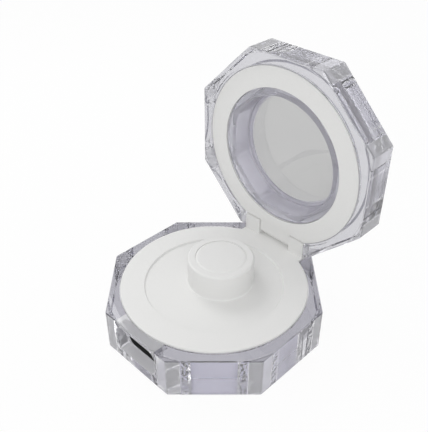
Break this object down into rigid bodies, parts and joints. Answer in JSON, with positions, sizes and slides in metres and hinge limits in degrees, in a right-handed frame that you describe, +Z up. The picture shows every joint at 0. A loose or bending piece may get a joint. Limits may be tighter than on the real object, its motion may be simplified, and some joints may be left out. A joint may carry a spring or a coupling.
{
  "type": "ring charging case",
  "caption": "Clear octagonal charging case with a hinged lid; a round post on a white deck holds a finger ring, with a plug recess in the side opposite the hinge.",
  "frame": {"origin": "centre of the foot pad's underside, where the case rests", "axes": "+Z up out of the deck, +Y towards the hinge, +X along the hinge axis; the plug recess faces -Y"},
  "size_m": [0.048, 0.0521, 0.0595],
  "materials": {
    "clear_acrylic": "polished clear acrylic with a faint smoky tint",
    "lavender_plastic": "smooth pale lavender plastic",
    "lavender_clear": "clear plastic tinted pale lavender",
    "white_plastic": "satin off-white moulded plastic",
    "black_plastic": "matt black moulded plastic",
    "port_steel": "drawn stainless sheet",
    "board_green": "green solder mask",
    "chip_black": "moulded chip body",
    "screw_steel": "plain turned steel",
    "cell_foil": "laminated foil pouch",
    "pad_foam": "thin adhesive foam",
    "lead_brass": "thin lead strip",
    "bobbin_plastic": "natural moulded plastic",
    "coil_copper": "enamelled copper winding",
    "core_ferrite": "pressed ferrite",
    "magnet_plate": "nickel plated",
    "foot_rubber": "soft grey-white rubber"
  },
  "bodies": {
    "base": {"base_shell": "clear_acrylic", "inner_tub": "lavender_plastic", "deck": "white_plastic", "post_cap": "white_plastic", "port_sleeve": "white_plastic", "usb_bezel": "black_plastic", "usb_shell": "port_steel", "usb_tongue": "black_plastic", "main_board": "board_green", "board_chips": "chip_black", "board_screws": "screw_steel", "battery_cell": "cell_foil", "battery_pad": "pad_foam", "battery_tab": "lead_brass", "coil_bobbin": "bobbin_plastic", "charging_coil": "coil_copper", "ferrite_core": "core_ferrite", "deck_screws": "screw_steel", "base_magnets": "magnet_plate", "foot_pad": "foot_rubber", "hinge_pin": "screw_steel"},
    "lid": {"lid_shell": "clear_acrylic", "lid_ring": "white_plastic", "lid_sleeve": "lavender_clear", "lid_magnets": "magnet_plate"}
  },
  "joints": [
    {"name": "lid_hinge", "type": "hinge", "parent": "base", "child": "lid", "pos_m": [0, 0.0225, 0.013], "axis": [1, 0, 0], "range_deg": [0, 90]}
  ]
}
